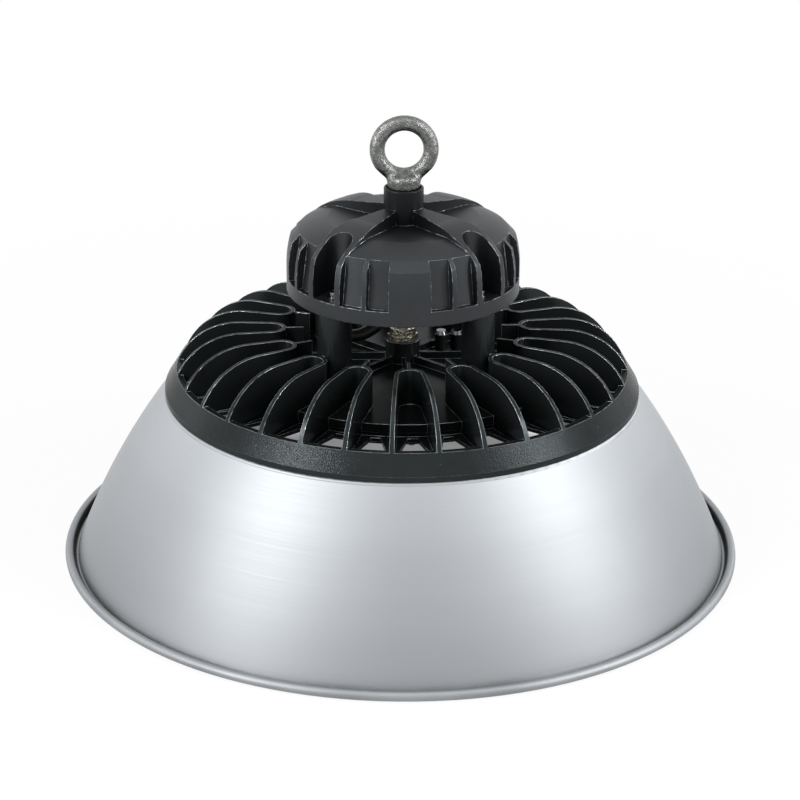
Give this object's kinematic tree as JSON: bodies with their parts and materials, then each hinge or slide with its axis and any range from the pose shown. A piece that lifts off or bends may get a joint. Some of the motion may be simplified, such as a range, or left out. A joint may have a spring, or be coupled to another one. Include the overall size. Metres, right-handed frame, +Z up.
{
  "type": "high bay light",
  "caption": "Hanging industrial high bay light: fin heat sink over an LED module, driver housing on posts, lifting eye and a conical spun reflector.",
  "frame": {"origin": "centre of the reflector rim's underside, on the surface that the rim would stand on", "axes": "+Z up along the light's axis to the lifting eye; -Y is the front, +Y the side with the power inlet gland"},
  "size_m": [0.458, 0.458, 0.3023],
  "materials": {
    "spun_aluminium": "satin spun aluminium, clear anodised",
    "zinc_steel": "zinc-plated steel screws and washers",
    "black_casting": "black powder coat on die-cast aluminium, semi-gloss",
    "seal_rubber": "black rubber",
    "white_board": "white solder mask on aluminium core",
    "led_phosphor": "yellow phosphor in a white package",
    "cover_glass": "clear toughened glass",
    "white_silicone": "white silicone",
    "grey_casting": "dark grey powder coat on die-cast aluminium, satin",
    "bare_aluminium": "bare aluminium sheet",
    "circuit_board": "green glass-fibre circuit board",
    "nickel_brass": "nickel-plated brass",
    "ferrite": "dark grey ferrite",
    "winding_tape": "yellow insulating tape over copper windings",
    "capacitor_sleeve": "dark printed-free sleeve",
    "film_box": "red moulded box",
    "terminal_green": "green moulded terminal block",
    "galvanised_steel": "forged steel, galvanised, grainy",
    "cable_jacket": "black rubber cable jacket",
    "black_nylon": "black nylon"
  },
  "bodies": {
    "root": {"reflector": "spun_aluminium", "reflector_screws": "zinc_steel", "heat_sink": "black_casting", "earth_screws": "zinc_steel", "thermal_pad": "seal_rubber", "led_board": "white_board", "led_chips": "led_phosphor", "led_board_screws": "zinc_steel", "cover_glass": "cover_glass", "cover_gasket": "white_silicone", "cover_clamp_ring": "black_casting", "cover_clamp_screws": "zinc_steel", "driver_housing": "grey_casting", "driver_base_plate": "bare_aluminium", "driver_base_gasket": "white_silicone", "driver_base_screws": "zinc_steel", "driver_mounting_screws": "zinc_steel", "driver_mounting_washers": "zinc_steel", "driver_circuit_board": "circuit_board", "circuit_board_spacers": "nickel_brass", "circuit_board_screws": "zinc_steel", "transformer_core": "ferrite", "transformer_winding": "winding_tape", "bulk_capacitors": "capacitor_sleeve", "filter_choke": "ferrite", "film_capacitor": "film_box", "input_terminals": "terminal_green", "eye_bolt": "galvanised_steel", "eye_bolt_spring_washer": "zinc_steel", "led_supply_cable": "cable_jacket", "hub_gland_body": "nickel_brass", "hub_gland_nut": "nickel_brass", "hub_gland_seal": "seal_rubber", "output_gland_body": "black_nylon", "output_gland_nut": "black_nylon", "output_gland_seal": "seal_rubber", "inlet_gland_body": "black_nylon", "inlet_gland_nut": "black_nylon", "inlet_gland_seal": "seal_rubber"}
  },
  "joints": []
}
